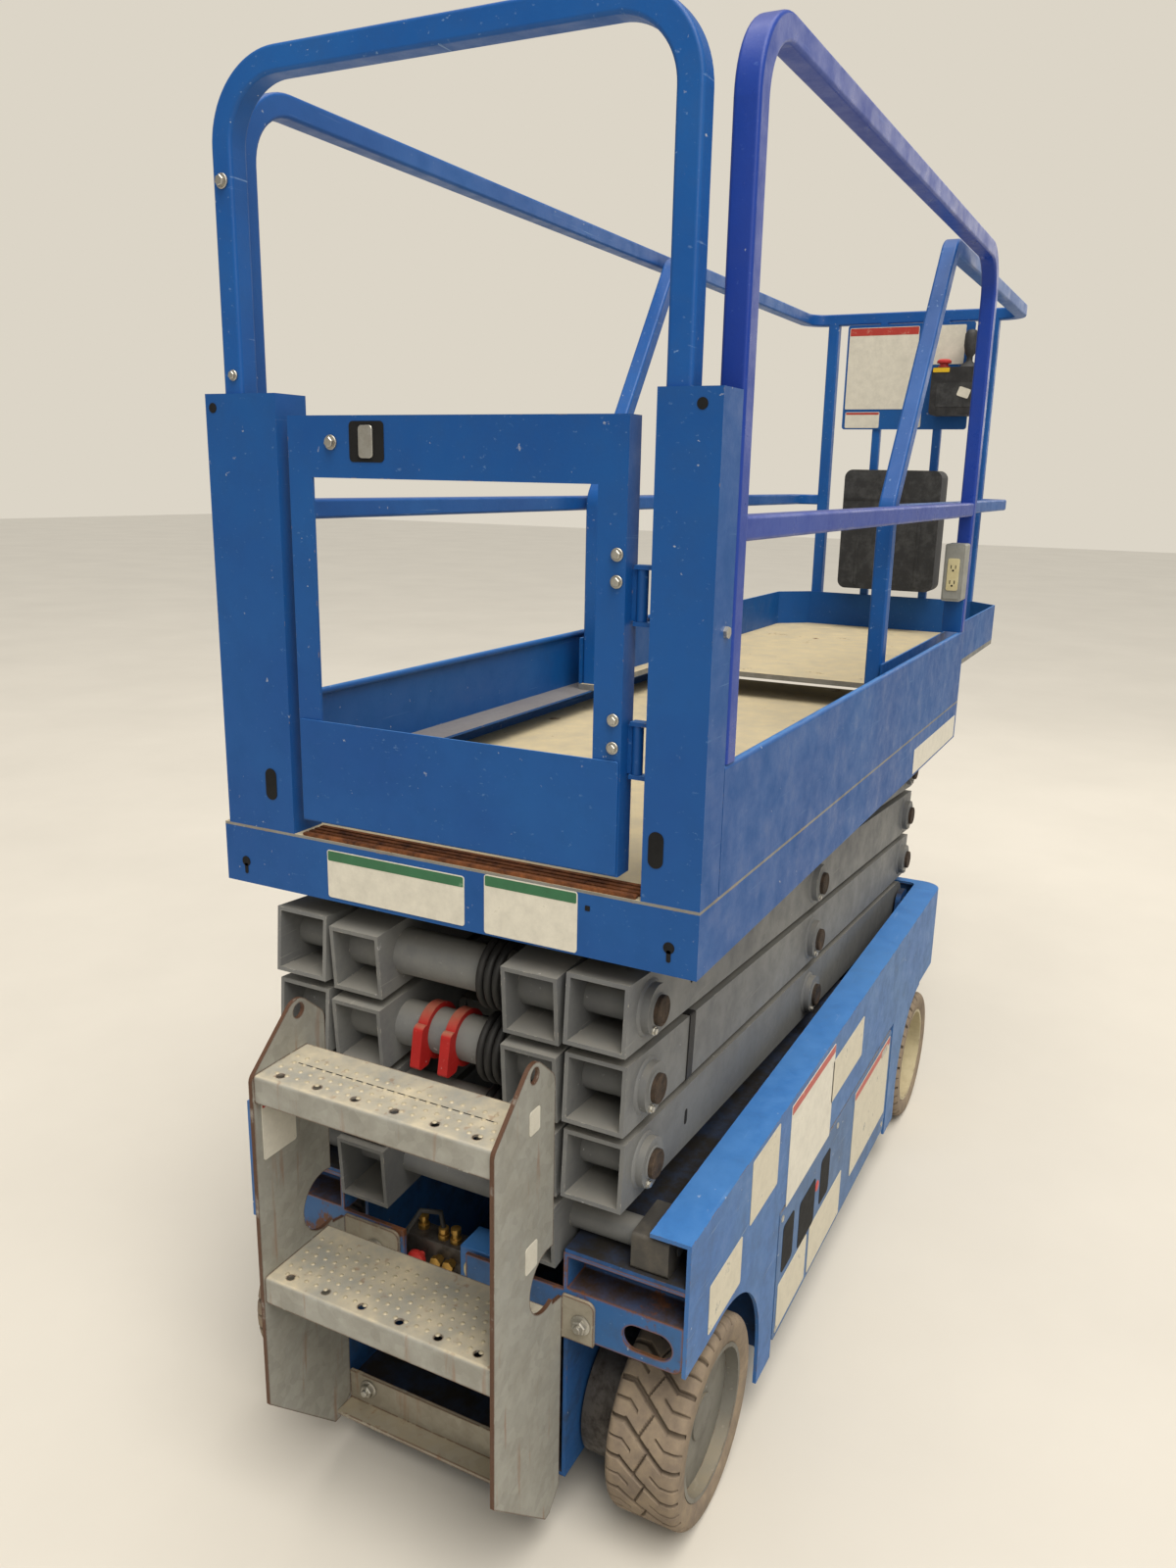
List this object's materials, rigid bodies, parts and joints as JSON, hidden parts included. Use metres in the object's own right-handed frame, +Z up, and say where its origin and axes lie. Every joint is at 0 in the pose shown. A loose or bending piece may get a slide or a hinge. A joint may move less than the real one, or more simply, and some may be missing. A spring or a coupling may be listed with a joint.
{
  "type": "scissor lift",
  "caption": "Self-propelled slab scissor lift: stowed four-level linkset on a low chassis with swing-out modules, railed platform with entry gate and a roll-out deck run out at the front, rear ladder.",
  "frame": {"origin": "on the floor under the middle of the length and width, with the linkset stowed and the roll-out deck run out", "axes": "+X towards the steered wheels and the roll-out deck, +Y to the machine's left, +Z up"},
  "size_m": [2.671, 0.76, 2.007],
  "materials": {
    "arm_paint": "satin, chalky",
    "black_plastic": "matte",
    "chassis_paint": "satin, scuffed",
    "chrome_rod": "ground",
    "deck": "worn",
    "grey_plastic": "matte",
    "ladder_paint": "galvanised, rusty edges",
    "placard": "satin",
    "platform_paint": "satin",
    "red_paint": "satin",
    "rim": "dull",
    "steel": "worn",
    "tyre": "matte",
    "wear_block": "matte"
  },
  "bodies": {
    "chassis": {"chassis_frame": "chassis_paint", "chassis_side_left": "chassis_paint", "chassis_side_right": "chassis_paint", "chassis_nose": "chassis_paint", "chassis_bulkheads": "chassis_paint", "rear_channel": "chassis_paint", "ladder": "ladder_paint", "ladder_mounts": "ladder_paint", "scissor_mounts": "chassis_paint", "kingpin_housings": "steel", "rear_axles": "steel", "module_hinges": "steel", "guard_pins": "steel"},
    "knuckle_left": {"knuckle_left": "steel"},
    "knuckle_right": {"knuckle_right": "steel"},
    "rear_left_wheel": {"rear_left_tyre": "tyre", "rear_left_rim": "rim"},
    "rear_right_wheel": {"rear_right_tyre": "tyre", "rear_right_rim": "rim"},
    "front_left_wheel": {"front_left_tyre": "tyre", "front_left_rim": "rim"},
    "front_right_wheel": {"front_right_tyre": "tyre", "front_right_rim": "rim"},
    "module_left": {"module_left_door": "chassis_paint", "module_left_tray": "chassis_paint"},
    "module_right": {"module_right_door": "chassis_paint", "module_right_tray": "chassis_paint"},
    "guard_left": {"guard_left": "chassis_paint"},
    "guard_right": {"guard_right": "chassis_paint"},
    "arm_1_outer": {"arm_1_outer": "arm_paint"},
    "arm_1_inner": {"arm_1_inner": "arm_paint"},
    "arm_2_outer": {"arm_2_outer": "arm_paint"},
    "arm_2_inner": {"arm_2_inner": "arm_paint", "rod_lugs": "arm_paint"},
    "arm_3_outer": {"arm_3_outer": "arm_paint"},
    "arm_3_inner": {"arm_3_inner": "arm_paint", "safety_hooks": "red_paint"},
    "arm_4_outer": {"arm_4_outer": "arm_paint"},
    "arm_4_inner": {"arm_4_inner": "arm_paint"},
    "lower_sliders": {"lower_sliders": "wear_block"},
    "upper_sliders": {"upper_sliders": "wear_block"},
    "cylinder_barrel": {"cylinder_barrel": "steel"},
    "cylinder_rod": {"cylinder_rod": "chrome_rod"},
    "platform": {"platform_frame": "platform_paint", "platform_deck": "deck", "side_walls": "platform_paint", "rear_posts": "platform_paint", "guardrail_left": "platform_paint", "guardrail_right": "platform_paint", "rear_hoop": "platform_paint", "gate_hinges": "platform_paint", "outlet_box": "grey_plastic"},
    "gate": {"gate": "platform_paint"},
    "slide_deck": {"slide_deck": "deck", "slide_toe_boards": "platform_paint", "slide_rails": "platform_paint", "placard_panel": "placard", "document_case": "black_plastic", "control_box": "black_plastic"}
  },
  "joints": [
    {"name": "lift", "type": "hinge", "parent": "chassis", "child": "arm_1_outer", "pos_m": [0.4165, 0, 0.5], "axis": [0, 1, 0], "range_deg": [0, 55]},
    {"name": "arm_1_inner_turn", "type": "hinge", "parent": "arm_1_outer", "child": "arm_1_inner", "pos_m": [-0.34142, 0, 0.55625], "axis": [0, 1, 0], "range_deg": [-110, 0]},
    {"name": "arm_2_inner_turn", "type": "hinge", "parent": "arm_1_outer", "child": "arm_2_inner", "pos_m": [-1.09933, 0, 0.6125], "axis": [0, 1, 0], "range_deg": [-110, 0]},
    {"name": "arm_2_outer_turn", "type": "hinge", "parent": "arm_2_inner", "child": "arm_2_outer", "pos_m": [-0.34142, 0, 0.66875], "axis": [0, 1, 0], "range_deg": [0, 110]},
    {"name": "arm_3_inner_turn", "type": "hinge", "parent": "arm_2_outer", "child": "arm_3_inner", "pos_m": [-1.09933, 0, 0.725], "axis": [0, 1, 0], "range_deg": [-110, 0]},
    {"name": "arm_3_outer_turn", "type": "hinge", "parent": "arm_3_inner", "child": "arm_3_outer", "pos_m": [-0.34142, 0, 0.78125], "axis": [0, 1, 0], "range_deg": [0, 110]},
    {"name": "arm_4_inner_turn", "type": "hinge", "parent": "arm_3_outer", "child": "arm_4_inner", "pos_m": [-1.09933, 0, 0.8375], "axis": [0, 1, 0], "range_deg": [-110, 0]},
    {"name": "arm_4_outer_turn", "type": "hinge", "parent": "arm_4_inner", "child": "arm_4_outer", "pos_m": [-0.34142, 0, 0.89375], "axis": [0, 1, 0], "range_deg": [0, 110]},
    {"name": "platform_level", "type": "hinge", "parent": "arm_4_inner", "child": "platform", "pos_m": [0.4165, 0, 0.95], "axis": [0, 1, 0], "range_deg": [0, 55]},
    {"name": "lower_slider_turn", "type": "hinge", "parent": "arm_1_inner", "child": "lower_sliders", "pos_m": [-1.09933, 0, 0.5], "axis": [0, 1, 0], "range_deg": [0, 55]},
    {"name": "upper_slider_turn", "type": "hinge", "parent": "arm_4_outer", "child": "upper_sliders", "pos_m": [-1.09933, 0, 0.95], "axis": [0, 1, 0], "range_deg": [-55, 0]},
    {"name": "barrel_turn", "type": "hinge", "parent": "chassis", "child": "cylinder_barrel", "pos_m": [0.2345, 0, 0.44], "axis": [0, 1, 0], "range_deg": [0, 63]},
    {"name": "rod_stroke", "type": "slide", "parent": "cylinder_barrel", "child": "cylinder_rod", "axis": [-0.9852, 0, 0.1712], "range_m": [0, 0.3708]},
    {"name": "guard_left_drop", "type": "hinge", "parent": "chassis", "child": "guard_left", "pos_m": [-0.3565, 0.356, 0.086], "axis": [1, 0, 0], "range_deg": [0, 90]},
    {"name": "module_left_open", "type": "hinge", "parent": "chassis", "child": "module_left", "pos_m": [0.0325, 0.373, 0.2225], "axis": [0, 0, -1], "range_deg": [0, 90]},
    {"name": "guard_right_drop", "type": "hinge", "parent": "chassis", "child": "guard_right", "pos_m": [-0.3565, -0.356, 0.086], "axis": [-1, 0, 0], "range_deg": [0, 90]},
    {"name": "module_right_open", "type": "hinge", "parent": "chassis", "child": "module_right", "pos_m": [0.0325, -0.373, 0.2225], "axis": [0, 0, 1], "range_deg": [0, 90]},
    {"name": "steer_left", "type": "hinge", "parent": "chassis", "child": "knuckle_left", "pos_m": [0.3095, 0.322, 0.345], "axis": [0, 0, 1], "range_deg": [-60, 60]},
    {"name": "steer_right", "type": "hinge", "parent": "chassis", "child": "knuckle_right", "pos_m": [0.3095, -0.322, 0.345], "axis": [0, 0, 1], "range_deg": [-60, 60]},
    {"name": "rear_left_spin", "type": "hinge", "parent": "chassis", "child": "rear_left_wheel", "pos_m": [-1.0105, 0.322, 0.1525], "axis": [0, 1, 0], "continuous": true},
    {"name": "rear_right_spin", "type": "hinge", "parent": "chassis", "child": "rear_right_wheel", "pos_m": [-1.0105, -0.322, 0.1525], "axis": [0, 1, 0], "continuous": true},
    {"name": "front_left_spin", "type": "hinge", "parent": "knuckle_left", "child": "front_left_wheel", "pos_m": [0.3095, 0.322, 0.1525], "axis": [0, 1, 0], "continuous": true},
    {"name": "front_right_spin", "type": "hinge", "parent": "knuckle_right", "child": "front_right_wheel", "pos_m": [0.3095, -0.322, 0.1525], "axis": [0, 1, 0], "continuous": true},
    {"name": "deck_roll_out", "type": "slide", "parent": "platform", "child": "slide_deck", "axis": [1, 0, 0], "range_m": [-0.86, 0]},
    {"name": "gate_swing", "type": "hinge", "parent": "platform", "child": "gate", "pos_m": [-1.1405, -0.276, 1.3045], "axis": [0, 0, -1], "range_deg": [0, 90]}
  ],
  "couplings": [
    {"joint": "arm_1_inner_turn", "follows": "lift", "ratio": -2},
    {"joint": "arm_2_inner_turn", "follows": "lift", "ratio": -2},
    {"joint": "arm_2_outer_turn", "follows": "lift", "ratio": 2},
    {"joint": "arm_3_inner_turn", "follows": "lift", "ratio": -2},
    {"joint": "arm_3_outer_turn", "follows": "lift", "ratio": 2},
    {"joint": "arm_4_inner_turn", "follows": "lift", "ratio": -2},
    {"joint": "arm_4_outer_turn", "follows": "lift", "ratio": 2},
    {"joint": "platform_level", "follows": "lift", "ratio": 1},
    {"joint": "lower_slider_turn", "follows": "lift", "ratio": 1},
    {"joint": "upper_slider_turn", "follows": "lift", "ratio": -1},
    {"joint": "barrel_turn", "follows": "lift", "ratio": 1.1428},
    {"joint": "rod_stroke", "follows": "lift", "m_per_rad": 0.3852},
    {"joint": "guard_left_drop", "follows": "lift", "ratio": 1.6359},
    {"joint": "guard_right_drop", "follows": "lift", "ratio": 1.6359},
    {"joint": "steer_right", "follows": "steer_left", "ratio": 1}
  ]
}
